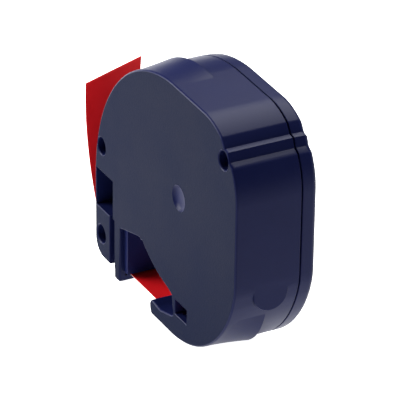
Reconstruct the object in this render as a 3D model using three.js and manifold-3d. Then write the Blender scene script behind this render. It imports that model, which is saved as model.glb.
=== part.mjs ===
// A label-tape cassette: a two-part moulded case holding a roll of 12 mm label tape.
// Millimetres, +Z up. The case is drawn around the roll's axis: x to the right, z up, and y from
// the machine side (y = 0) back to the cover. The last lines move it to stand on its base, with
// the origin under the middle of its box.

import * as THREE from 'three';
import * as BufferGeometryUtils from 'three/addons/utils/BufferGeometryUtils.js';
import Module from 'manifold-3d';

const wasm = await Module();
wasm.setup();

// ---------------------------------------------------------------- driving dimensions

const TAPE_WIDTH = 12;
const FILM = 0.12;
const LINER = 0.08;
const BOND = 0.02; // the adhesive between film and liner, left as a gap

const CASE_DEPTH = 16.7;
const SEAM = 0.3; // between the two halves of the case
const BASE_DEPTH = 13.3;
const WALL = 1.3;
const DRAFT = 0.0005; // growth of the outline per mm of depth, up to the seam
const BACK_FACE = CASE_DEPTH - WALL; // inside of the cover's plate
const COVER_START = BASE_DEPTH + SEAM;

const LEFT = -35.9;
const RIGHT = 23.35;
const FOOT = -30.15;
const MIDDLE = (LEFT + RIGHT) / 2;
const CROWN = { x: -2.9, z: -10.6, r: 33 };
const CORNER = { x: 9.65, z: 8.35, r: 13.7 };
const BELLY = { x: -2.76, z: -3.35, r: 26.8 };
const WINDOW_ARC = { x: 0.35, z: 3.1, r: 24.6 }; // the window's edge nearest the roll

const TAPE_START = 2.2; // the tape's edge nearest the machine side
const TAPE_END = TAPE_START + TAPE_WIDTH;
const ROLL_RADIUS = 18.6;
const CORE = { inner: 7.5, outer: 9.5 };
const HUB = { inner: 5.9, outer: 7.2, top: 12.5 };
const SPIGOT = { inner: 4.2, outer: 5.5, start: 9 };
const CHAMBER = 20.6; // inner radius of the wall around the roll

const NOTCH = { top: -9.35, bottom: -17.5, right: -28, wall: 0.5 };
const BAR = { right: -29.4, bottom: -28.2, corner: 3.8 };
const ARM = { left: -27.2, right: -24.8, corner: 0.6 };
const TAPE_GUIDE = { right: -23.2, start: 1 }; // the block over the tape, behind the arm's front
const WEB = { start: 9, thick: 1.2 }; // joins the bar to the arm, deep in the notch

const GUIDE = { x: 0.6, z: -26.65, r: 1.5 }; // the post that turns the tape towards the window
const TAPE_FLOOR = FOOT + WALL;
const TAPE_LINE = -28.5; // height of the tape across the window
const SLOT_ROOF = -27.85; // underside of what stands over the tape in the arm
const HOOK_ROOF = -28.05; // and in the hook

// Round sockets in the base for the cover's pins.
const SOCKETS = [
  { x: -33, z: -3.8, r: 1.8 },
  { x: 17.9, z: 15.8, r: 1.85 },
  { x: -33.1, z: -23.2, r: 1.9 },
];
const SOCKET_WALL = 1.2;
const PIN_PLAY = 0.4;
const PIN_START = 4.5;
const LATCH_WINDOW = { left: -0.7, right: 4.2, bottom: -25, top: -21.9 };

const SLIP_SHEET = { inner: 9.9, outer: 19.6, thick: 0.2 };
const GAP = 0.35;
const ARC_STEP = 5; // degrees for each facet of a large arc
const TUBE_SIDES = 48;

// ---------------------------------------------------------------- shapes

const at = (x, z) => new THREE.Vector2(x, z);
const radians = THREE.MathUtils.degToRad;

// Points along a circle, from one angle to another in degrees, both ends included.
function arc(circle, from, to, step = ARC_STEP) {
  const count = Math.max(2, Math.round(Math.abs(to - from) / step));
  return Array.from({ length: count + 1 }, (_, i) => {
    const angle = radians(from + ((to - from) * i) / count);
    return at(circle.x + circle.r * Math.cos(angle), circle.z + circle.r * Math.sin(angle));
  });
}

const inset = (circle, by) => ({ ...circle, r: circle.r - by });

// A closed geometry as a solid that can be joined and cut.
function solid(geometry) {
  geometry.deleteAttribute('normal');
  geometry.deleteAttribute('uv');
  const merged = BufferGeometryUtils.mergeVertices(geometry, 1e-5);
  return new wasm.Manifold(new wasm.Mesh({
    numProp: 3,
    vertProperties: new Float32Array(merged.attributes.position.array),
    triVerts: new Uint32Array(merged.index.array),
  }));
}

// An outline drawn in x and z, extruded from y0 to y1; move may shift each corner afterwards.
function slab(outline, y0, y1, move) {
  const geometry = new THREE.ExtrudeGeometry(new THREE.Shape(outline), {
    depth: y1 - y0,
    bevelEnabled: false,
    steps: 1,
  });
  geometry.rotateX(Math.PI / 2);
  geometry.translate(0, y1, 0);
  if (move) {
    const corners = geometry.attributes.position;
    const corner = new THREE.Vector3();
    for (let i = 0; i < corners.count; i += 1) {
      corner.fromBufferAttribute(corners, i);
      move(corner);
      corners.setXYZ(i, corner.x, corner.y, corner.z);
    }
  }
  return solid(geometry);
}

const block = (x0, x1, z0, z1, y0, y1) => slab([at(x0, z0), at(x1, z0), at(x1, z1), at(x0, z1)], y0, y1);

// A round bar along y.
function rod(x, z, r, y0, y1, sides = 24) {
  const geometry = new THREE.CylinderGeometry(r, r, y1 - y0, sides);
  geometry.translate(x, (y0 + y1) / 2, z);
  return solid(geometry);
}

// A ring around the roll's axis.
const ring = (inner, outer, y0, y1) =>
  rod(0, 0, outer, y0, y1, TUBE_SIDES).subtract(rod(0, 0, inner, y0 - 1, y1 + 1, TUBE_SIDES));

const join = (first, ...others) => others.reduce((whole, piece) => whole.add(piece), first);
const cut = (first, ...others) => others.reduce((whole, piece) => whole.subtract(piece), first);

// The moulded walls lean out as they near the seam, and the case stays flat underneath.
function draft(corner) {
  const reach = Math.min(corner.y, 2 * BASE_DEPTH - corner.y);
  const growth = 1 + DRAFT * reach;
  corner.x = MIDDLE + (corner.x - MIDDLE) * growth;
  corner.z = FOOT + (corner.z - FOOT) * growth;
}

// ---------------------------------------------------------------- outlines of the case

// The upper right corner has two shallow steps, from the side's end up to the top's start.
const cornerSteps = [at(20.15, 16.25), at(19.4, 18), at(18.25, 18.2)];

// The belly's curve, from an angle up to where the flat side starts.
const bellyAndSide = (margin, from) => [
  ...arc(inset(BELLY, margin), from, -20),
  at(RIGHT - margin - 0.3, -10.3),
  at(RIGHT - margin, -7.5),
];

// From the belly's lowest point up the right side and over the crown to the left side.
function rightAndTop() {
  return [
    ...bellyAndSide(0, -90),
    ...arc(CORNER, 0, 32),
    ...cornerSteps,
    ...arc(CORNER, 57, 90),
    ...arc(CROWN, 90, 180),
  ];
}

// From the foot of the arm, up and over the print-head window, and around the hook.
function windowAndHook() {
  return [
    ...arc({ x: ARM.left + ARM.corner, z: FOOT + ARM.corner, r: ARM.corner }, 180, 270, 30),
    ...arc({ x: ARM.right - ARM.corner, z: FOOT + ARM.corner, r: ARM.corner }, 270, 360, 30),
    at(ARM.right, -18.5),
    at(-24.4, -18),
    at(-16.3, -16),
    ...arc(WINDOW_ARC, 231, 260),
    at(-2.3, -21.8),
    at(-1.5, -25.3),
    at(-2.7, -26.2),
    at(-7.2, -27.4),
    at(-10.2, -27),
    ...arc({ x: -10.4, z: -28.2, r: 1.2 }, 100, 190, 30),
    at(-11, -29.2),
    at(-9, FOOT),
  ];
}

const barCorner = arc(
  { x: LEFT + BAR.corner, z: BAR.bottom + BAR.corner, r: BAR.corner }, 180, 270, 15,
);
const notchInside = [
  at(BAR.right, BAR.bottom),
  at(BAR.right, NOTCH.bottom),
  at(LEFT + NOTCH.wall, NOTCH.bottom),
  at(LEFT + NOTCH.wall, NOTCH.top),
  at(NOTCH.right, NOTCH.top),
  at(NOTCH.right, NOTCH.bottom),
  at(ARM.left, NOTCH.bottom),
];
const baseOutline = [...rightAndTop(), ...barCorner, ...notchInside, ...windowAndHook()];
const coverOutline = [...rightAndTop(), ...barCorner, at(ARM.left, BAR.bottom), ...windowAndHook()];
const webOutline = [
  at(LEFT, NOTCH.top + 0.5),
  ...barCorner,
  at(ARM.left + 1, BAR.bottom),
  at(ARM.left + 1, NOTCH.top + 0.5),
];

// The room inside the walls: the roll's chamber and the space to its left.
const chamberOutline = [
  ...bellyAndSide(WALL, -84),
  ...arc(inset(CORNER, WALL), 0, 90),
  ...arc(inset(CROWN, WALL), 90, 175.4),
  at(ARM.left + WALL, NOTCH.top + WALL),
  at(ARM.left + WALL, -17),
  at(-15.5, -14.5),
  ...arc(inset(WINDOW_ARC, WALL), 230, 261),
  at(-1.1, -20.6),
  at(-0.5, -25.5),
  at(-0.5, TAPE_FLOOR + 0.1),
];

// The way that the tape takes through the hook, with room over it for the brake.
const channelOutline = [
  at(-13, TAPE_FLOOR),
  at(1, TAPE_FLOOR),
  at(1, -25.6),
  at(-0.4, -25.3),
  at(-1.1, -26.6),
  at(-2.9, -27),
  at(-6.6, -27.6),
  at(-6.6, HOOK_ROOF),
  at(-13, HOOK_ROOF),
];

// ---------------------------------------------------------------- the case

// A crescent of a grip or catch on an outer wall: it ramps up from the machine side to a sharp
// edge at y1. Its height is greatest at the middle of its arc.
function crescent(circle, from, to, height, y0, y1) {
  const buried = arc(inset(circle, 0.6), to, from, 4);
  const count = 12;
  const crest = Array.from({ length: count + 1 }, (_, i) => {
    const rise = height * Math.sin((Math.PI * i) / count);
    const angle = radians(from + ((to - from) * i) / count);
    const r = circle.r + rise;
    return at(circle.x + r * Math.cos(angle), circle.z + r * Math.sin(angle));
  });
  const middle = at(circle.x, circle.z);
  return slab([...crest, ...buried], y0, y1, (corner) => {
    if (corner.y > (y0 + y1) / 2) return;
    const spoke = at(corner.x, corner.z).sub(middle);
    spoke.setLength(Math.min(spoke.length(), circle.r - 0.3));
    corner.x = middle.x + spoke.x;
    corner.z = middle.y + spoke.y;
  });
}

// An outline drawn in y and z, extruded from x0 to x1.
function sideSlab(outline, x0, x1) {
  const geometry = new THREE.ExtrudeGeometry(new THREE.Shape(outline), {
    depth: x1 - x0,
    bevelEnabled: false,
    steps: 1,
  });
  geometry.rotateX(Math.PI / 2);
  geometry.rotateZ(Math.PI / 2);
  geometry.translate(x0, 0, 0);
  return solid(geometry);
}

// The flat side runs on below the belly's start as a round-ended pad.
const sidePad = () =>
  sideSlab([...arc({ x: 7.6, z: -10.6, r: 3.6 }, 180, 360, 15), at(11.2, -5), at(4, -5)], RIGHT - 3, RIGHT);

const tapeSlot = (y0, y1) =>
  block(ARM.left - 0.5, TAPE_GUIDE.right + 0.5, TAPE_LINE - 0.35, SLOT_ROOF, y0, y1);

function caseBase() {
  const walls = cut(
    slab(baseOutline, 0, BASE_DEPTH, draft),
    slab(chamberOutline, WALL, BASE_DEPTH + 1),
    slab(channelOutline, WALL, BASE_DEPTH + 1),
    tapeSlot(WALL, BASE_DEPTH + 1),
  );
  const bosses = SOCKETS.slice(0, 2).map((s) => rod(s.x, s.z, s.r + SOCKET_WALL, 1, BASE_DEPTH - 0.3));
  const outside = slab(baseOutline, 0, BASE_DEPTH, draft);
  const rollGuard = cut(
    slab([at(0, 0), ...arc({ x: 0, z: 0, r: CHAMBER + 1 }, 115, 205)], 1, 9),
    rod(0, 0, CHAMBER, 0, 10, TUBE_SIDES),
  );
  const whole = join(
    walls,
    slab(webOutline, WEB.start, WEB.start + WEB.thick),
    ...bosses.map((boss) => boss.intersect(outside)),
    ring(HUB.inner, HUB.outer, 1, HUB.top),
    rollGuard,
    rod(GUIDE.x, GUIDE.z, GUIDE.r, 1, BASE_DEPTH),
    slab([at(-1.45, -24.9), at(-0.85, GUIDE.z), at(GUIDE.x, GUIDE.z), at(-0.3, -24.5)], 1, BASE_DEPTH),
    block(-1.1, 0.65, -24.5, -22.4, 6.9, 8.3), // the ledge that the cover's latch catches
    block(ARM.right - 0.5, TAPE_GUIDE.right, SLOT_ROOF, -17, TAPE_GUIDE.start, BASE_DEPTH),
    crescent(CROWN, 86, 140, 1.1, 0.6, 7.9),
    crescent(BELLY, -62, -28, 1, 0.6, 7.8),
    sidePad(),
  );
  const dimple = new THREE.SphereGeometry(6.4, 48, 48);
  dimple.translate(0.4, -5.8, 0.1);
  return cut(
    whole,
    ...SOCKETS.map((s) => rod(s.x, s.z, s.r, -1, BASE_DEPTH + 1)),
    block(LATCH_WINDOW.left, LATCH_WINDOW.right, LATCH_WINDOW.bottom, LATCH_WINDOW.top, -1, 2),
    solid(dimple),
  );
}

const labelOutline = (margin) => [
  ...bellyAndSide(margin, -60),
  ...arc(inset(CORNER, margin), 0, 90),
  ...arc(inset(CROWN, margin), 90, 170),
  at(-14, -13),
  ...arc({ x: 0, z: 0, r: 19 }, 226, 270),
];
const LABEL_RECESS = 0.3;

function caseCover() {
  const shell = cut(
    slab(coverOutline, COVER_START, CASE_DEPTH, draft),
    slab(chamberOutline, COVER_START - 1, BACK_FACE),
    slab(channelOutline, COVER_START - 1, BACK_FACE),
    tapeSlot(COVER_START - 1, TAPE_END + GAP),
    slab(labelOutline(3), CASE_DEPTH - LABEL_RECESS, CASE_DEPTH + 1),
  );
  const pins = SOCKETS.map((s) => rod(s.x, s.z, s.r - PIN_PLAY, PIN_START, BACK_FACE + 0.5));
  const latch = join(
    block(1, 2.3, -24.5, -22.4, 5.2, BACK_FACE + 0.5),
    block(-0.1, 1.1, -24.5, -22.4, 5.2, 6.6),
  );
  return join(shell, ...pins, ring(SPIGOT.inner, SPIGOT.outer, SPIGOT.start, BACK_FACE + 0.5), latch);
}

// ---------------------------------------------------------------- the tape

// A path drawn by a walker that goes straight ahead or turns clockwise. Each point of it also
// has the normal that points to the tape's inner side, which is the printed side.
class Walker {
  constructor(x, z, heading) {
    this.place = at(x, z);
    this.heading = heading;
    this.points = [];
    this.mark();
  }

  mark() {
    const angle = radians(this.heading);
    this.points.push({ place: this.place.clone(), inner: at(Math.sin(angle), -Math.cos(angle)) });
  }

  ahead(length) {
    const angle = radians(this.heading);
    this.place.add(at(Math.cos(angle), Math.sin(angle)).multiplyScalar(length));
    this.mark();
    return this;
  }

  turn(radius, degrees, count) {
    const step = degrees / count;
    const chord = 2 * radius * Math.sin(radians(step / 2));
    for (let i = 0; i < count; i += 1) {
      const angle = radians(this.heading - step / 2);
      this.place.add(at(Math.cos(angle), Math.sin(angle)).multiplyScalar(chord));
      this.heading -= step;
      this.mark();
    }
    return this;
  }
}

// The outline of a strip beside a path, between two distances on its inner side.
function stripOutline(points, low, high) {
  const side = (distance) => points.map((p) => p.place.clone().addScaledVector(p.inner, distance));
  return [...side(low), ...side(high).reverse()];
}

const filmOutline = (points) => stripOutline(points, BOND / 2, BOND / 2 + FILM);
const linerOutline = (points) => stripOutline(points, -BOND / 2 - LINER, -BOND / 2);

// The tape leaves the roll along the line that touches both the roll and the guide post.
const ROLL_LINE = ROLL_RADIUS + 0.25;
const GUIDE_LINE = GUIDE.z - TAPE_LINE;
const guideDistance = Math.hypot(GUIDE.x, GUIDE.z);
const leaveAngle = THREE.MathUtils.radToDeg(
  Math.atan2(GUIDE.z, GUIDE.x) + Math.acos((ROLL_LINE - GUIDE_LINE) / guideDistance),
);
const freeLength = Math.sqrt(guideDistance ** 2 - (ROLL_LINE - GUIDE_LINE) ** 2);

const LEADER_BEND = { x: -31.6, r: 6, degrees: 55.6 }; // where the tape curls up past the bar
const LEADER = { r: 47.8, degrees: 44, count: 15, nearTop: 4.3, farTop: 8.1 };

function tapeRun() {
  const start = radians(leaveAngle);
  const walker = new Walker(ROLL_LINE * Math.cos(start), ROLL_LINE * Math.sin(start), leaveAngle - 90);
  walker.ahead(freeLength);
  walker.turn(GUIDE_LINE, walker.heading + 180, 6);
  walker.ahead(GUIDE.x - LEADER_BEND.x);
  walker.turn(LEADER_BEND.r, LEADER_BEND.degrees, 8);
  return walker;
}

const run = tapeRun();

// The free end, cut on a slant: its far edge is longer than its near edge.
function leader(outlineOf) {
  const walker = new Walker(run.place.x, run.place.y, run.heading);
  const strip = slab(outlineOf(walker.turn(LEADER.r, LEADER.degrees, LEADER.count).points), TAPE_START, TAPE_END);
  const over = 1;
  const slope = (LEADER.farTop - LEADER.nearTop) / TAPE_WIDTH;
  const beyond = [
    at(TAPE_START - over, LEADER.nearTop - slope * over),
    at(TAPE_END + over, LEADER.farTop + slope * over),
    at(TAPE_END + over, LEADER.farTop + 20),
    at(TAPE_START - over, LEADER.farTop + 20),
  ];
  return strip.subtract(sideSlab(beyond, LEFT - 20, LEFT));
}

// The strip of spring steel that holds the tape's end from slipping back, and its felt pad.
const BRAKE = { start: 3.5, end: 12.9, thick: 0.15 };

function brakeSpring() {
  const under = [at(-6.3, -27.85), at(-4.3, -27.8), at(-2.9, -27.3)];
  const over = under.map((p) => p.clone().add(at(-0.03, BRAKE.thick)));
  return slab([...under, ...over.reverse()], BRAKE.start, BRAKE.end);
}

const brakePad = () =>
  block(-6.2, -4.4, -28.25, -27.9, BRAKE.start, BRAKE.end);

// ---------------------------------------------------------------- assembly

const finish = (color, roughness, metalness = 0) =>
  new THREE.MeshStandardMaterial({ color, roughness, metalness });

const navy = finish(0x34364f, 0.45);
const sticker = finish(0xd9dadf, 0.5);
const corePlastic = finish(0xcfd0d2, 0.5);
const red = finish(0xc4202a, 0.4);
const linerPaper = finish(0xe6e2d4, 0.6);
const clearSheet = finish(0xdfe4ea, 0.2);
const felt = finish(0x8a8578, 0.95);
const steel = finish(0xb4b6ba, 0.35, 1);

const cassette = new THREE.Group();

function add(name, body, material) {
  const found = body.getMesh();
  const geometry = new THREE.BufferGeometry();
  geometry.setAttribute('position', new THREE.BufferAttribute(new Float32Array(found.vertProperties), 3));
  geometry.setIndex(new THREE.BufferAttribute(new Uint32Array(found.triVerts), 1));
  geometry.computeVertexNormals();
  const mesh = new THREE.Mesh(geometry, material);
  mesh.name = name;
  cassette.add(mesh);
}

const sheetAt = (y) => ring(SLIP_SHEET.inner, SLIP_SHEET.outer, y, y + SLIP_SHEET.thick);

add('case_base', caseBase(), navy);
add('case_cover', caseCover(), navy);
add('cover_label', slab(labelOutline(3.3), CASE_DEPTH - 0.25, CASE_DEPTH - 0.1), sticker);
add('spool_core', ring(CORE.inner, CORE.outer, TAPE_START + 0.2, TAPE_END - 0.2), corePlastic);
add('tape_roll', ring(CORE.outer + 0.1, ROLL_RADIUS, TAPE_START, TAPE_END), red);
add('front_slip_sheet', sheetAt(WALL + GAP), clearSheet);
add('rear_slip_sheet', sheetAt(TAPE_END + GAP), clearSheet);
add('drag_washer', ring(CORE.inner + 0.1, CORE.outer - 0.1, WALL + 0.3, TAPE_START - 0.1), felt);
add('brake_spring', brakeSpring(), steel);
add('brake_pad', brakePad(), felt);
add('run_film', slab(filmOutline(run.points), TAPE_START, TAPE_END), red);
add('run_liner', slab(linerOutline(run.points), TAPE_START, TAPE_END), linerPaper);
add('leader_film', leader(filmOutline), red);
add('leader_liner', leader(linerOutline), linerPaper);

const box = new THREE.Box3().setFromObject(cassette);
const centre = box.getCenter(new THREE.Vector3());
cassette.position.set(-centre.x, -centre.y, -box.min.z);

const part = new THREE.Group();
part.add(cassette);

export default part;
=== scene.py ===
# The looks of a label-tape cassette: a navy two-part case, a roll of red label tape and the
# small pieces that guide and brake the tape. Lengths in the helper functions are millimetres
# around the roll's axis: x right, z up, and y back from the case's flat front.

import math

import bmesh
import bpy
from mathutils import Matrix, Vector


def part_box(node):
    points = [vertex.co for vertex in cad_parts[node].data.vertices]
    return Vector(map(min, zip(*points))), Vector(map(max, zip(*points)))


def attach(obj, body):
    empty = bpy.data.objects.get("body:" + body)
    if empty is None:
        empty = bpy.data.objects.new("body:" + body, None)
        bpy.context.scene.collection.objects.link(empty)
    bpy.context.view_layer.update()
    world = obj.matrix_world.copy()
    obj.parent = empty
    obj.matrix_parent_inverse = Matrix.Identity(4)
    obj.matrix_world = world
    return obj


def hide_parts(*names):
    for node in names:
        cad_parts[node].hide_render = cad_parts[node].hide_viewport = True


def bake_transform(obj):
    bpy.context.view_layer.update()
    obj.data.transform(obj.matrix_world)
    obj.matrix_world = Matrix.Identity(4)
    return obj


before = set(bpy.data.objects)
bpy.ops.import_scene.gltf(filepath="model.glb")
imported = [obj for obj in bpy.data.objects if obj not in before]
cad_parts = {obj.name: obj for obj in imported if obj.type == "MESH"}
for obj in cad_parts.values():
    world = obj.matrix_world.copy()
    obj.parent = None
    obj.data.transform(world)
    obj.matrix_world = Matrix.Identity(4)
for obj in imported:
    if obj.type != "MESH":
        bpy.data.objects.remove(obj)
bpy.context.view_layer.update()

MM = 0.001

roll_low, roll_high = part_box("tape_roll")
base_low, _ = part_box("case_base")
_, cover_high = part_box("case_cover")
ORIGIN = Vector(((roll_low.x + roll_high.x) / 2, base_low.y, (roll_low.z + roll_high.z) / 2))

# ------------------------------------------------------------------ the case's dimensions

TAPE_WIDTH = 12
FILM = 0.12
LINER = 0.08
BOND = 0.02
CASE_DEPTH = 16.7
SEAM = 0.3
BASE_DEPTH = 13.3
COVER_START = BASE_DEPTH + SEAM
WALL = 1.3
BACK_FACE = CASE_DEPTH - WALL
DRAFT = 0.0005
LEFT = -35.9
RIGHT = 23.35
FOOT = -30.15
MIDDLE = (LEFT + RIGHT) / 2
CROWN = (-2.9, -10.6, 33)
CORNER = (9.65, 8.35, 13.7)
BELLY = (-2.76, -3.35, 26.8)
WINDOW_ARC = (0.35, 3.1, 24.6)
TAPE_START = 2.2
TAPE_END = TAPE_START + TAPE_WIDTH
ROLL_RADIUS = 18.6
CORE_INNER = 7.5
CORE_OUTER = 9.5
CHAMBER = (0, 0, 20.6)
NOTCH_TOP = -9.35
NOTCH_BOTTOM = -17.5
NOTCH_RIGHT = -28
NOTCH_WALL = 0.5
BAR_RIGHT = -29.4
BAR_BOTTOM = -28.2
BAR_CORNER = 3.8
ARM_LEFT = -27.2
ARM_RIGHT = -24.8
ARM_CORNER = 0.6
GUIDE_BLOCK_RIGHT = -23.2
GUIDE = (0.6, -26.65, 1.5)
TAPE_FLOOR = FOOT + WALL
TAPE_LINE = -28.5
SLOT_ROOF = -27.85
HOOK_ROOF = -28.05
SOCKETS = [(-33, -3.8, 1.8), (17.9, 15.8, 1.85), (-33.1, -23.2, 1.9)]
PIN_PLAY = 0.4
POST_ROOT = [(-1.45, -24.9), (-0.85, GUIDE[1]), GUIDE[:2], (-0.3, -24.5)]
SHEET = (9.9, 19.6, 0.2)  # a slip sheet's inner and outer radius, and its thickness
BRAKE_START = 3.5
BRAKE_END = 12.9
DIMPLE = (0.4, 0.1, 2.65, 0.75)  # x, z, radius and depth of the dimple around the gate
LATCH_WINDOW = [(-0.7, -25), (4.2, -25), (4.2, -21.9), (-0.7, -21.9)]

# ------------------------------------------------------------------ outlines


def arc(circle, start, end, step=2.0):
    """Points (x, z) along a circle from one angle to another, in degrees."""
    x, z, r = circle
    count = max(2, round(abs(end - start) / step))
    angles = [math.radians(start + (end - start) * i / count) for i in range(count + 1)]
    return [(x + r * math.cos(a), z + r * math.sin(a)) for a in angles]


def inset_circle(circle, by):
    return circle[0], circle[1], circle[2] - by


def tidy(outline, least=0.02):
    """The outline without points that repeat, running anticlockwise."""
    kept = []
    for point in outline:
        if not kept or math.dist(point, kept[-1]) > least:
            kept.append(point)
    if math.dist(kept[0], kept[-1]) <= least:
        kept.pop()
    area = sum(a[0] * b[1] - b[0] * a[1] for a, b in zip(kept, kept[1:] + kept[:1]))
    return kept if area > 0 else kept[::-1]


def offset(outline, by):
    """The anticlockwise outline moved inwards by a distance, with mitred corners."""
    if by == 0:
        return list(outline)
    moved = []
    for i, point in enumerate(outline):
        before = Vector(point) - Vector(outline[i - 1])
        after = Vector(outline[(i + 1) % len(outline)]) - Vector(point)
        inward_a = Vector((-before.y, before.x)).normalized()
        inward_b = Vector((-after.y, after.x)).normalized()
        middle = (inward_a + inward_b).normalized()
        reach = by / max(0.4, middle.dot(inward_a))
        moved.append((point[0] + middle.x * reach, point[1] + middle.y * reach))
    return moved


def belly_and_side(margin, start):
    """The belly's curve, from an angle up to where the flat side starts."""
    side = RIGHT - margin
    ease = [(side - 0.32, -10.5), (side - 0.1, -9.3), (side, -7.8)]
    return arc(inset_circle(BELLY, margin), start, -20) + ease


STEPS = [(20.15, 16.25), (19.4, 18), (18.25, 18.2)]
RIGHT_AND_TOP = (
    belly_and_side(0, -90)
    + arc(CORNER, 0, 32)
    + STEPS
    + arc(CORNER, 57, 90)
    + arc(CROWN, 90, 180)
)
BAR_ARC = arc((LEFT + BAR_CORNER, BAR_BOTTOM + BAR_CORNER, BAR_CORNER), 180, 270, 6)
ARM_FOOT = arc((ARM_LEFT + ARM_CORNER, FOOT + ARM_CORNER, ARM_CORNER), 180, 270, 15)
ARM_TOE = arc((ARM_RIGHT - ARM_CORNER, FOOT + ARM_CORNER, ARM_CORNER), 270, 360, 15)
WINDOW = (
    [(ARM_RIGHT, -18.7)]
    + arc((-24.05, -18.75, 0.75), 180, 105, 25)
    + [(-16.9, -16.15)]
    + arc((-16.3, -16.9, 0.8), 100, 40, 20)
    + arc(WINDOW_ARC, 231.5, 260)
    + [(-2.3, -21.8), (-1.85, -24.1)]
    + arc((-2.75, -25.1, 1.15), 30, -60, 18)
    + [(-7.2, -27.4), (-8.8, -27.2), (-10.2, -27)]
    + arc((-10.4, -28.2, 1.2), 100, 190, 12)
    + arc((-10.5, -29.35, 0.8), 200, 270, 20)
)
BASE_OUTLINE = RIGHT_AND_TOP + BAR_ARC + [(ARM_LEFT, BAR_BOTTOM)] + ARM_FOOT + ARM_TOE + WINDOW
CLOSED_OUTLINE = RIGHT_AND_TOP + BAR_ARC + [(ARM_LEFT, BAR_BOTTOM)] + ARM_FOOT
NOTCH_OUTLINE = [
    (LEFT + NOTCH_WALL, NOTCH_TOP),
    (LEFT + NOTCH_WALL, NOTCH_BOTTOM),
    (BAR_RIGHT, NOTCH_BOTTOM),
    (BAR_RIGHT, BAR_BOTTOM - 1),
    (ARM_LEFT, BAR_BOTTOM - 1),
    (ARM_LEFT, NOTCH_BOTTOM),
    (NOTCH_RIGHT, NOTCH_BOTTOM),
    (NOTCH_RIGHT, NOTCH_TOP),
]
WEB_OUTLINE = (
    [(LEFT + 0.1, NOTCH_TOP + 0.5)]
    + BAR_ARC
    + [(ARM_LEFT + 1, BAR_BOTTOM), (ARM_LEFT + 1, NOTCH_TOP + 0.5)]
)
CHAMBER_OUTLINE = (
    belly_and_side(WALL, -84)
    + arc(inset_circle(CORNER, WALL), 0, 90)
    + arc(inset_circle(CROWN, WALL), 90, 175.4)
    + [(ARM_LEFT + WALL, NOTCH_TOP + WALL), (ARM_LEFT + WALL, -17), (-15.5, -14.5)]
    + arc(inset_circle(WINDOW_ARC, WALL), 230, 261)
    + [(-1.1, -20.6), (-0.5, -25.5), (-0.5, TAPE_FLOOR + 0.1)]
)
CHANNEL_OUTLINE = [
    (-13, TAPE_FLOOR),
    (1, TAPE_FLOOR),
    (1, -25.6),
    (-0.4, -25.3),
    (-1.1, -26.6),
    (-2.9, -27),
    (-6.6, -27.6),
    (-6.6, HOOK_ROOF),
    (-13, HOOK_ROOF),
]

# ------------------------------------------------------------------ meshes


def drafted(x, y, z):
    """Where a point of the moulded case is, once its walls lean out towards the seam."""
    growth = 1 + DRAFT * min(y, 2 * BASE_DEPTH - y)
    return MIDDLE + (x - MIDDLE) * growth, y, FOOT + (z - FOOT) * growth


def mesh_object(name, points, faces):
    """An object whose points are given in local millimetres, with its faces turned outwards."""
    mesh = bpy.data.meshes.new(name)
    mesh.from_pydata([ORIGIN + Vector(p) * MM for p in points], [], faces)
    work = bmesh.new()
    work.from_mesh(mesh)
    bmesh.ops.recalc_face_normals(work, faces=work.faces)
    work.to_mesh(mesh)
    work.free()
    made = bpy.data.objects.new(name, mesh)
    bpy.context.scene.collection.objects.link(made)
    return made


def loft(name, loops, ring=False):
    """A closed mesh through loops of points. A ring joins its last loop to its first."""
    count = len(loops[0])
    points = [p for loop in loops for p in loop]
    spans = len(loops) if ring else len(loops) - 1
    faces = []
    for k in range(spans):
        low = k * count
        high = ((k + 1) % len(loops)) * count
        for i in range(count):
            j = (i + 1) % count
            faces.append((low + i, low + j, high + j, high + i))
    if not ring:
        faces.append(tuple(range(count)))
        faces.append(tuple(range(spans * count, len(points))))
    return mesh_object(name, points, faces)


def rim(radius, count=4):
    """(depth, inset) pairs of a rounded edge, from the flat face to the wall."""
    if radius == 0:
        return [(0, 0)]
    angles = [math.radians(90 * k / count) for k in range(count + 1)]
    return [(radius * (1 - math.cos(a)), radius * (1 - math.sin(a))) for a in angles]


def slab(name, outline, y0, y1, front=0, back=0, lean=False):
    """A plate cut to an outline, with rounded front and back rims."""
    outline = tidy(outline)
    sections = [(y0 + depth, inset) for depth, inset in rim(front)]
    sections += [(y1 - depth, inset) for depth, inset in reversed(rim(back))]
    loops = []
    for y, inset in sections:
        loop = [(x, y, z) for x, z in offset(outline, inset)]
        loops.append([drafted(*p) for p in loop] if lean else loop)
    return loft(name, loops)


def cutter(outline, y0, y1, flare=0):
    """A tool that cuts an outline from the front, and eases the edge at the mouth by flare."""
    outline = tidy(outline)
    sections = [(y0 - 1, -flare), (y0, -flare), (y0 + flare * 0.4, -flare * 0.4), (y0 + flare, 0)]
    if flare == 0:
        sections = [(y0, 0)]
    sections.append((y1, 0))
    return loft("cutter", [[(x, y, z) for x, z in offset(outline, i)] for y, i in sections])


def block(x0, x1, z0, z1, y0, y1):
    return slab("block", [(x0, z0), (x1, z0), (x1, z1), (x0, z1)], y0, y1)


def lathe(name, profile, x=0, z=0, sides=96):
    """A ring turned around an axis along y, from a closed profile of (radius, y) pairs."""
    loops = []
    for k in range(sides):
        a = 2 * math.pi * k / sides
        loops.append([(x + r * math.cos(a), y, z + r * math.sin(a)) for r, y in profile])
    return loft(name, loops, ring=True)


def rod(x, z, r, y0, y1, ease=0.0, sides=48):
    """A round bar along y, with its two ends eased."""
    circle = [
        (x + r * math.cos(2 * math.pi * k / sides), z + r * math.sin(2 * math.pi * k / sides))
        for k in range(sides)
    ]
    return slab("rod", circle, y0, y1, ease, ease)


def tube(name, inner, outer, y0, y1, ease=0.1):
    """A ring about the roll's axis with chamfered edges."""
    profile = [
        (inner, y0 + ease),
        (inner + ease, y0),
        (outer - ease, y0),
        (outer, y0 + ease),
        (outer, y1 - ease),
        (outer - ease, y1),
        (inner + ease, y1),
        (inner, y1 - ease),
    ]
    return lathe(name, profile)


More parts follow.
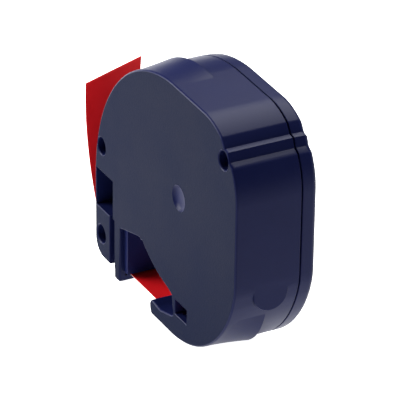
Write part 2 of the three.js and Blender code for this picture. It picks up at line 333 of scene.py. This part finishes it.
def combine(target, tools, operation):
    """Joins the tools to the target, or cuts them out of it, or keeps what they share."""
    for tool in tools:
        modifier = target.modifiers.new("combine", "BOOLEAN")
        modifier.operation = operation
        modifier.solver = "MANIFOLD"
        modifier.object = tool
        bpy.context.view_layer.update()
        done = target.evaluated_get(bpy.context.evaluated_depsgraph_get())
        mesh = bpy.data.meshes.new_from_object(done)
        target.modifiers.clear()
        target.data = mesh
        bpy.data.objects.remove(tool)
    return target


def soften(obj, angle=32):
    """Smooth shading over gentle edges, while the flat faces stay flat."""
    obj.data.shade_smooth()
    obj.data.set_sharp_from_angle(angle=math.radians(angle))
    weighted = obj.modifiers.new("weighted", "WEIGHTED_NORMAL")
    weighted.keep_sharp = True
    weighted.weight = 80
    return obj


# ------------------------------------------------------------------ materials


class Nodes:
    """A procedural material, built one node at a time."""

    def __init__(self, name):
        self.material = bpy.data.materials.new(name)
        self.material.use_nodes = True
        self.tree = self.material.node_tree
        self.shader = self.tree.nodes["Principled BSDF"]
        self.place = self.add("ShaderNodeTexCoord").outputs["Object"]

    def add(self, kind, **inputs):
        made = self.tree.nodes.new(kind)
        for key, value in inputs.items():
            self.feed(made.inputs[key.replace("_", " ")], value)
        return made

    def feed(self, socket, value):
        if isinstance(value, bpy.types.NodeSocket):
            self.tree.links.new(value, socket)
        else:
            socket.default_value = value

    def noise(self, scale, detail=3, roughness=0.5, stretch=(1, 1, 1)):
        """Noise whose scale is given in waves per metre."""
        mapping = self.add("ShaderNodeMapping", Vector=self.place, Scale=stretch)
        found = self.add(
            "ShaderNodeTexNoise",
            Vector=mapping.outputs["Vector"],
            Scale=scale,
            Detail=detail,
            Roughness=roughness,
        )
        return found.outputs["Fac"]

    def span(self, value, low, high, to_low, to_high):
        found = self.add("ShaderNodeMapRange")
        keys = ("Value", "From Min", "From Max", "To Min", "To Max")
        pairs = zip(keys, (value, low, high, to_low, to_high))
        for key, number in pairs:
            self.feed(found.inputs[key], number)
        return found.outputs["Result"]

    def math(self, operation, first, second=0.0):
        found = self.add("ShaderNodeMath")
        found.operation = operation
        self.feed(found.inputs[0], first)
        self.feed(found.inputs[1], second)
        return found.outputs[0]

    def mix(self, factor, first, second):
        found = self.add("ShaderNodeMix")
        found.data_type = "RGBA"
        self.feed(found.inputs["Factor"], factor)
        self.feed(found.inputs[6], (*first, 1) if isinstance(first, tuple) else first)
        self.feed(found.inputs[7], (*second, 1) if isinstance(second, tuple) else second)
        return found.outputs[2]

    def bump(self, height, distance, strength=1.0):
        found = self.add("ShaderNodeBump", Height=height, Distance=distance, Strength=strength)
        self.feed(self.shader.inputs["Normal"], found.outputs["Normal"])

    def set(self, **inputs):
        for key, value in inputs.items():
            self.feed(self.shader.inputs[key.replace("_", " ")], value)


def navy_plastic():
    """Satin walls, and a fine moulded texture on the outermost front and rear faces."""
    n = Nodes("navy_plastic")
    normal = n.add("ShaderNodeTexCoord").outputs["Normal"]
    parts = n.add("ShaderNodeSeparateXYZ", Vector=normal)
    depth = n.add("ShaderNodeSeparateXYZ", Vector=n.place).outputs["Y"]
    outermost = n.span(depth, base_low.y + 0.2 * MM, base_low.y + 0.4 * MM, 1, 0)
    rearmost = n.span(depth, cover_high.y - 0.4 * MM, cover_high.y - 0.2 * MM, 0, 1)
    outside = n.math("ADD", outermost, rearmost)
    turned = n.span(n.math("ABSOLUTE", parts.outputs["Y"]), 0.9, 0.99, 0, 1)
    faces = n.math("MULTIPLY", turned, outside)
    clouds = n.noise(90, 4)
    grain = n.noise(2600, 3, 0.6)
    tint = n.span(clouds, 0.3, 0.7, 0, 1)
    walls = n.mix(tint, (0.005, 0.0075, 0.044), (0.0065, 0.0095, 0.05))
    matte = n.mix(tint, (0.002, 0.0045, 0.02), (0.003, 0.006, 0.023))
    n.set(Base_Color=n.mix(faces, walls, matte), Specular_IOR_Level=n.span(faces, 0, 1, 0.08, 0.03))
    satin = n.span(clouds, 0.3, 0.7, 0.33, 0.4)
    rough = n.math("ADD", satin, n.math("MULTIPLY", faces, 0.2))
    n.set(Roughness=rough)
    wave = n.math("MULTIPLY", grain, n.span(faces, 0, 1, 0.18, 1))
    n.bump(wave, 0.00006, 0.5)
    return n.material


def red_film():
    n = Nodes("red_film")
    clouds = n.noise(140, 3)
    tint = n.span(clouds, 0.3, 0.7, 0, 1)
    n.set(
        Base_Color=n.mix(tint, (0.64, 0.009, 0.013), (0.7, 0.012, 0.017)),
        Roughness=n.span(clouds, 0.3, 0.7, 0.38, 0.46),
        Specular_IOR_Level=0.05,
    )
    n.bump(n.noise(900, 2), 0.00002, 0.2)
    return n.material


def plain(name, dark, light, roughness, scale=400, depth=0.00003, metallic=0.0):
    """A finish whose colour and roughness wander a little, with a fine relief."""
    n = Nodes(name)
    clouds = n.noise(scale, 4)
    tint = n.span(clouds, 0.3, 0.7, 0, 1)
    n.set(
        Base_Color=n.mix(tint, dark, light),
        Roughness=n.span(clouds, 0.3, 0.7, roughness - 0.04, roughness + 0.04),
        Metallic=metallic,
    )
    n.bump(n.noise(scale * 5, 3), depth, 0.4)
    return n.material


MATERIALS = {
    "navy_plastic": navy_plastic(),
    "sticker": plain("sticker", (0.27, 0.28, 0.31), (0.31, 0.32, 0.35), 0.42, 300, 0.00002),
    "core_plastic": plain("core_plastic", (0.6, 0.6, 0.61), (0.66, 0.66, 0.67), 0.45),
    "label_film": red_film(),
    "liner_paper": plain("liner_paper", (0.72, 0.69, 0.6), (0.78, 0.75, 0.67), 0.6, 900, 0.00004),
    "clear_sheet": plain("clear_sheet", (0.68, 0.71, 0.74), (0.74, 0.77, 0.8), 0.2, 200, 0.00001),
    "felt": plain("felt", (0.15, 0.135, 0.11), (0.34, 0.31, 0.26), 0.92, 2200, 0.0002),
    "spring_steel": plain("spring_steel", (0.42, 0.43, 0.45), (0.52, 0.53, 0.55), 0.3, 700, 0.00001, 1.0),
}


def dress(obj, slot, replaced=(), body=None):
    """Gives a piece its finish, hides the CAD nodes that it replaces, and attaches it to the body that it
    moves with.
    """
    obj.data.materials.clear()
    obj.data.materials.append(MATERIALS[slot])
    if replaced:
        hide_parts(*replaced)
    if body:
        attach(obj, body)
    return obj


# ------------------------------------------------------------------ the case


def crescent(circle, start, end, height, y0, y1):
    """A grip on an outer wall that swells towards y1 and ends there in a sharp edge."""
    count = 28
    loops = []
    for k in range(9):
        share = k / 8
        outer = []
        for i in range(count + 1):
            a = math.radians(start + (end - start) * i / count)
            r = circle[2] - 0.02 + (height + 0.02) * math.sin(math.pi * i / count) * share**1.3
            y = y0 + (y1 - y0) * share
            outer.append(drafted(circle[0] + r * math.cos(a), y, circle[1] + r * math.sin(a)))
        inner = []
        for i in range(count, -1, -1):
            a = math.radians(start + (end - start) * i / count)
            r = circle[2] - 0.7
            inner.append((circle[0] + r * math.cos(a), y, circle[1] + r * math.sin(a)))
        loops.append(outer + inner)
    return loft("crescent", loops)


def side_pad():
    """The flat side runs on below the belly's start as a round-ended pad."""
    outline = [(4, -5), (4, -10.6)]
    outline += [
        (7.6 - 3.6 * math.cos(math.radians(t)), -10.6 - 3.6 * math.sin(math.radians(t)))
        for t in range(10, 180, 10)
    ]
    outline += [(11.2, -10.6), (11.2, -5)]
    loops = []
    for x, inset in ((RIGHT - 3, 0), (RIGHT - 0.3, 0), (RIGHT - 0.1, 0.1), (RIGHT, 0.3)):
        flat = tidy(outline)
        loops.append([(x, y, z) for y, z in offset(flat, inset)])
    return loft("side_pad", loops)


def socket_tool(x, z, r):
    """Cuts a round socket whose mouth is eased."""
    circle = [
        (x + r * math.cos(math.radians(t)), z + r * math.sin(math.radians(t)))
        for t in range(0, 360, 8)
    ]
    return cutter(circle, 0, BASE_DEPTH + 1, 0.22)


def dimple_tool():
    """Cuts a shallow round dimple with a nearly flat floor."""
    x, z, radius, depth = DIMPLE
    profile = []
    for k in range(11):
        t = math.radians(90 * k / 10)
        r = radius * math.sin(t)
        profile.append((max(r, 0.001), depth * (1 - (r / radius) ** 4) - 0.02))
    sides = 64
    loops = []
    for r, y in profile:
        loops.append(
            [
                (x + r * math.cos(2 * math.pi * k / sides), y, z + r * math.sin(2 * math.pi * k / sides))
                for k in range(sides)
            ]
        )
    last = [(px, -1, pz) for px, _, pz in loops[-1]]
    return loft("dimple", loops + [last])


def tape_slot(y0, y1):
    return block(ARM_LEFT - 0.5, GUIDE_BLOCK_RIGHT + 0.5, TAPE_LINE - 0.35, SLOT_ROOF, y0, y1)


def case_base():
    whole = slab("case_base_body", BASE_OUTLINE, 0, BASE_DEPTH, 0.45, 0.12, lean=True)
    keep = slab("keep", BASE_OUTLINE, 0, BASE_DEPTH, 0.45, 0.12, lean=True)
    combine(
        whole,
        [
            cutter(NOTCH_OUTLINE, 0, BASE_DEPTH + 1, 0.15),
            slab("room", CHAMBER_OUTLINE, WALL, BASE_DEPTH + 1),
            slab("channel", CHANNEL_OUTLINE, WALL, BASE_DEPTH + 1),
            tape_slot(WALL, BASE_DEPTH + 1),
        ],
        "DIFFERENCE",
    )
    bosses = [rod(x, z, r + 1.2, 1, BASE_DEPTH - 0.3) for x, z, r in SOCKETS[:2]]
    for boss in bosses:
        copy = keep.copy()
        copy.data = keep.data.copy()
        bpy.context.scene.collection.objects.link(copy)
        combine(boss, [copy], "INTERSECT")
    bpy.data.objects.remove(keep)
    guard = slab("guard", [(0, 0)] + arc((0, 0, CHAMBER[2] + 1), 115, 205), 1, 9)
    combine(guard, [rod(0, 0, CHAMBER[2], 0, 10, sides=96)], "DIFFERENCE")
    combine(
        whole,
        bosses
        + [
            block(ARM_RIGHT - 0.5, GUIDE_BLOCK_RIGHT, SLOT_ROOF, -17, 1, BASE_DEPTH),
            slab("web", WEB_OUTLINE, 9, 10.2),
            tube("hub", 5.9, 7.2, 1, 12.5),
            guard,
            rod(*GUIDE, 1, BASE_DEPTH),
            slab("post_root", POST_ROOT, 1, BASE_DEPTH),
            block(-1.1, 0.65, -24.5, -22.4, 6.9, 8.3),
            crescent(CROWN, 86, 140, 0.8, 0.6, 7.9),
            crescent(BELLY, -62, -28, 1, 0.6, 7.8),
            side_pad(),
        ],
        "UNION",
    )
    combine(
        whole,
        [socket_tool(*s) for s in SOCKETS] + [cutter(LATCH_WINDOW, 0, 2, 0.12), dimple_tool()],
        "DIFFERENCE",
    )
    soften(whole)
    return dress(whole, "navy_plastic", ["case_base"], "case")


LABEL_EDGE = arc((0, 0, 19), 226, 270)


def label_outline(margin):
    return (
        belly_and_side(margin, -60)
        + arc(inset_circle(CORNER, margin), 0, 90)
        + arc(inset_circle(CROWN, margin), 90, 170)
        + [(-14, -13)]
        + LABEL_EDGE
    )


def case_cover():
    whole = slab("case_cover_body", CLOSED_OUTLINE, COVER_START, CASE_DEPTH, 0.12, 1.1, lean=True)
    window = ARM_TOE[1:] + WINDOW + [(-10, FOOT - 2), (ARM_RIGHT - 0.5, FOOT - 2)]
    combine(
        whole,
        [
            slab("window", window, COVER_START - 1, CASE_DEPTH + 1),
            slab("room", CHAMBER_OUTLINE, COVER_START - 1, BACK_FACE),
            slab("channel", CHANNEL_OUTLINE, COVER_START - 1, BACK_FACE),
            tape_slot(COVER_START - 1, TAPE_END + 0.35),
            slab("recess", label_outline(3), CASE_DEPTH - 0.3, CASE_DEPTH + 1),
        ],
        "DIFFERENCE",
    )
    pins = [rod(x, z, r - PIN_PLAY, 4.5, BACK_FACE + 0.5, 0.25) for x, z, r in SOCKETS]
    spigot = tube("spigot", 4.2, 5.5, 9, BACK_FACE + 0.5)
    latch = block(1, 2.3, -24.5, -22.4, 5.2, BACK_FACE + 0.5)
    barb = block(-0.1, 1.1, -24.5, -22.4, 5.2, 6.6)
    combine(whole, pins + [spigot, latch, barb], "UNION")
    soften(whole)
    return dress(whole, "navy_plastic", ["case_cover"], "case")


# ------------------------------------------------------------------ what is inside


def tape_roll():
    """The wound tape: its ends show the turns of the winding as fine rings."""
    inner = CORE_OUTER + 0.1
    turns = 22
    pitch = (ROLL_RADIUS - inner) / turns
    front = []
    for k in range(turns):
        start = inner + k * pitch
        front += [(start + 0.02, 0.0), (start + pitch - 0.06, 0.0), (start + pitch - 0.02, 0.06)]
    profile = [(inner, TAPE_START + 0.03)]
    profile += [(r, TAPE_START + depth) for r, depth in front]
    profile += [(ROLL_RADIUS, TAPE_START + 0.03), (ROLL_RADIUS, TAPE_END - 0.03)]
    profile += [(r, TAPE_END - depth) for r, depth in reversed(front)]
    profile.append((inner, TAPE_END - 0.03))
    whole = lathe("tape_roll_wound", profile, sides=120)
    soften(whole, 25)
    return dress(whole, "label_film", ["tape_roll"], "spool")


def spool_core():
    """The core, with six small drive ribs inside its bore."""
    whole = tube("spool_core_body", CORE_INNER + 0.3, CORE_OUTER, TAPE_START + 0.2, TAPE_END - 0.2, 0.2)
    ribs = []
    for k in range(6):
        a = math.radians(60 * k)
        x, z = (CORE_INNER + 0.45) * math.cos(a), (CORE_INNER + 0.45) * math.sin(a)
        ribs.append(rod(x, z, 0.4, TAPE_START + 0.6, TAPE_END - 0.6, sides=20))
    combine(whole, ribs, "UNION")
    soften(whole)
    return dress(whole, "core_plastic", ["spool_core"], "spool")


def ring_piece(name, inner, outer, y0, y1, slot, node, ease=0.04):
    whole = tube(name, inner, outer, y0, y1, ease)
    soften(whole)
    return dress(whole, slot, [node], "case")


def slip_sheet(end, start):
    """A thin disc between one end of the roll and the case."""
    inner, outer, thick = SHEET
    name = f"{end}_slip_sheet"
    return ring_piece(f"{name}_disc", inner, outer, start, start + thick, "clear_sheet", name)


def drag_washer():
    inner, outer = CORE_INNER + 0.1, CORE_OUTER - 0.1
    y0, y1 = WALL + 0.3, TAPE_START - 0.1
    return ring_piece("drag_washer_felt", inner, outer, y0, y1, "felt", "drag_washer")


def brake_spring():
    """A bent strip of spring steel with three fingers at its free end."""
    under = [(-6.3, -27.85), (-4.3, -27.8), (-2.9, -27.3)]
    over = [(x - 0.03, z + 0.15) for x, z in under]
    whole = slab("brake_spring_strip", under + over[::-1], BRAKE_START, BRAKE_END, 0.02, 0.02)
    slots = [block(-7, -4.5, -28.5, -27, y, y + 0.5) for y in (6.4, 9.5)]
    combine(whole, slots, "DIFFERENCE")
    soften(whole)
    return dress(whole, "spring_steel", ["brake_spring"], "case")


def brake_pad():
    outline = [(-6.2, -28.25), (-4.4, -28.25), (-4.4, -27.9), (-6.2, -27.9)]
    whole = slab("brake_pad_felt", outline, BRAKE_START, BRAKE_END, 0.06, 0.06)
    soften(whole)
    return dress(whole, "felt", ["brake_pad"], "case")


def cover_label():
    whole = slab("cover_label_sticker", label_outline(3.3), CASE_DEPTH - 0.25, CASE_DEPTH - 0.1, 0.03, 0.03)
    soften(whole)
    return dress(whole, "sticker", ["cover_label"], "case")


# ------------------------------------------------------------------ the tape


class Walker:
    """Draws the tape's path: straight ahead, or turning clockwise around a centre."""

    def __init__(self, x, z, heading):
        self.place = Vector((x, z))
        self.heading = heading
        self.points = []
        self.mark()

    def mark(self):
        a = math.radians(self.heading)
        self.points.append((self.place.copy(), Vector((math.sin(a), -math.cos(a)))))

    def ahead(self, length, count=1):
        a = math.radians(self.heading)
        for _ in range(count):
            self.place += Vector((math.cos(a), math.sin(a))) * (length / count)
            self.mark()

    def turn(self, radius, degrees, count):
        step = degrees / count
        chord = 2 * radius * math.sin(math.radians(step / 2))
        for _ in range(count):
            a = math.radians(self.heading - step / 2)
            self.place += Vector((math.cos(a), math.sin(a))) * chord
            self.heading -= step
            self.mark()


ROLL_LINE = ROLL_RADIUS + 0.25
GUIDE_LINE = GUIDE[1] - TAPE_LINE
LEADER_RADIUS = 47.8
LEADER_DEGREES = 44
NEAR_TOP = 4.3
FAR_TOP = 8.1
BEND = (-31.6, 6, 55.6)


def tape_path():
    """The path's points with their inner normals, and where the free end starts."""
    distance = math.hypot(GUIDE[0], GUIDE[1])
    lean = math.acos((ROLL_LINE - GUIDE_LINE) / distance)
    leave = math.atan2(GUIDE[1], GUIDE[0]) + lean
    walker = Walker(ROLL_LINE * math.cos(leave), ROLL_LINE * math.sin(leave), math.degrees(leave) - 90)
    walker.ahead(math.sqrt(distance**2 - (ROLL_LINE - GUIDE_LINE) ** 2), 4)
    walker.turn(GUIDE_LINE, walker.heading + 180, 12)
    walker.ahead(GUIDE[0] - BEND[0], 12)
    walker.turn(BEND[1], BEND[2], 20)
    fixed = len(walker.points)
    walker.turn(LEADER_RADIUS, LEADER_DEGREES, 60)
    return walker.points, fixed


PATH, FIXED = tape_path()


def tape_strip(name, low, high):
    """A strip along the path between two distances on its inner side, cut on a slant."""
    slope = (FAR_TOP - NEAR_TOP) / TAPE_WIDTH
    across = 6
    points = []
    for k in range(across + 1):
        y = TAPE_START + TAPE_WIDTH * k / across
        top = NEAR_TOP + slope * (y - TAPE_START)
        cut_at = next(i for i in range(FIXED, len(PATH)) if PATH[i][0].y >= top - 1e-6)
        reach = cut_at - FIXED
        for side in (low, high):
            for i in range(len(PATH)):
                index = min(i, FIXED)
                if i > FIXED:
                    share = (i - FIXED) / (len(PATH) - 1 - FIXED)
                    index = FIXED + share * reach
                a = int(index)
                b = min(a + 1, len(PATH) - 1)
                place = PATH[a][0].lerp(PATH[b][0], index - a)
                inner = PATH[a][1].lerp(PATH[b][1], index - a).normalized()
                spot = place + inner * side
                points.append((spot.x, y, min(spot.y, top)))
    length = len(PATH)
    faces = []

    def at(k, side, i):
        return (k * 2 + side) * length + i

    for k in range(across):
        for i in range(length - 1):
            for side in (0, 1):
                near = (at(k, side, i), at(k, side, i + 1))
                far = (at(k + 1, side, i + 1), at(k + 1, side, i))
                faces.append(near + far)
        for i in (0, length - 1):
            faces.append((at(k, 0, i), at(k, 1, i), at(k + 1, 1, i), at(k + 1, 0, i)))
    for k in (0, across):
        for i in range(length - 1):
            faces.append((at(k, 0, i), at(k, 0, i + 1), at(k, 1, i + 1), at(k, 1, i)))
    return mesh_object(name, points, faces)


def tape(name, low, high, slot, nodes):
    whole = tape_strip(name, low, high)
    whole.data.shade_smooth()
    whole.data.set_sharp_from_angle(angle=math.radians(40))
    dress(whole, slot, nodes)
    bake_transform(whole)
    return whole


case_base()
case_cover()
cover_label()
spool_core()
tape_roll()
slip_sheet("front", WALL + 0.35)
slip_sheet("rear", TAPE_END + 0.35)
drag_washer()
brake_spring()
brake_pad()
tape("tape_film", BOND / 2, BOND / 2 + FILM, "label_film", ["run_film", "leader_film"])
tape("tape_liner", -BOND / 2 - LINER, -BOND / 2, "liner_paper", ["run_liner", "leader_liner"])

# ------------------------------------------------------------------ the studio


AZIMUTH = math.radians(62.56)
ELEVATION = math.radians(27.085)
ROLL = math.radians(0.795)
DISTANCE = 0.6
SCALE = 5360  # picture points per metre at the object, in a picture 400 points wide
FADE = (0.042, 0.09, 1.05, 0.1)  # the table's glow, from the object towards the camera's side


def studio_floor():
    """A white table that glows, less and less on the camera's side of the picture."""
    points = [(-4000, -4000, FOOT), (4000, -4000, FOOT), (4000, 4000, FOOT), (-4000, 4000, FOOT)]
    floor = mesh_object("floor", points, [(0, 1, 2, 3)])
    material = bpy.data.materials.new("white_table")
    material.use_nodes = True
    tree = material.node_tree
    shader = tree.nodes["Principled BSDF"]
    shader.inputs["Base Color"].default_value = (0.8, 0.8, 0.8, 1)
    shader.inputs["Roughness"].default_value = 0.9
    shader.inputs["Specular IOR Level"].default_value = 0
    shader.inputs["Emission Color"].default_value = (1, 1, 1, 1)
    place = tree.nodes.new("ShaderNodeTexCoord")
    ahead = tree.nodes.new("ShaderNodeVectorMath")
    ahead.operation = "DOT_PRODUCT"
    ahead.inputs[1].default_value = (math.sin(AZIMUTH), -math.cos(AZIMUTH), 0)
    fade = tree.nodes.new("ShaderNodeMapRange")
    fade.interpolation_type = "SMOOTHSTEP"
    for key, value in zip(("From Min", "From Max", "To Min", "To Max"), FADE):
        fade.inputs[key].default_value = value
    tree.links.new(place.outputs["Object"], ahead.inputs[0])
    tree.links.new(ahead.outputs["Value"], fade.inputs["Value"])
    tree.links.new(fade.outputs["Result"], shader.inputs["Emission Strength"])
    floor.data.materials.append(material)


def area_light(name, place, target, width, height, watts, colour=(1, 1, 1)):
    data = bpy.data.lights.new(name, "AREA")
    data.shape = "RECTANGLE"
    data.size = width
    data.size_y = height
    data.energy = watts
    data.color = colour
    lamp = bpy.data.objects.new(name, data)
    lamp.location = place
    lamp.rotation_euler = (Vector(place) - Vector(target)).to_track_quat("Z", "Y").to_euler()
    bpy.context.scene.collection.objects.link(lamp)


def sky(strength):
    world = bpy.data.worlds.new("studio")
    world.use_nodes = True
    background = world.node_tree.nodes["Background"]
    background.inputs["Color"].default_value = (1, 1, 1, 1)
    background.inputs["Strength"].default_value = strength
    bpy.context.scene.world = world


def camera():
    level = Vector((math.cos(AZIMUTH), math.sin(AZIMUTH), 0))
    back = Vector(
        (
            math.sin(AZIMUTH) * math.cos(ELEVATION),
            -math.cos(AZIMUTH) * math.cos(ELEVATION),
            math.sin(ELEVATION),
        )
    )
    upright = back.cross(level)
    right = level * math.cos(ROLL) + upright * math.sin(ROLL)
    up = back.cross(right)
    aim = ORIGIN + right * 0.00419 - up * 0.00037
    data = bpy.data.cameras.new("camera")
    data.sensor_width = 36
    data.lens = 36 * SCALE * DISTANCE / 400
    data.clip_end = 50
    eye = bpy.data.objects.new("camera", data)
    eye.location = aim + back * DISTANCE
    eye.rotation_euler = Matrix((right, up, back)).transposed().to_euler()
    bpy.context.scene.collection.objects.link(eye)
    bpy.context.scene.camera = eye


studio_floor()
sky(0.16)
centre = (0, 0, 0.028)
area_light("front_box", (-0.5, -0.55, 0.3), centre, 0.5, 0.5, 11)
area_light("top_box", (-0.25, 0.35, 0.75), centre, 0.7, 0.7, 12)
camera()
bpy.context.scene.view_settings.view_transform = "Standard"
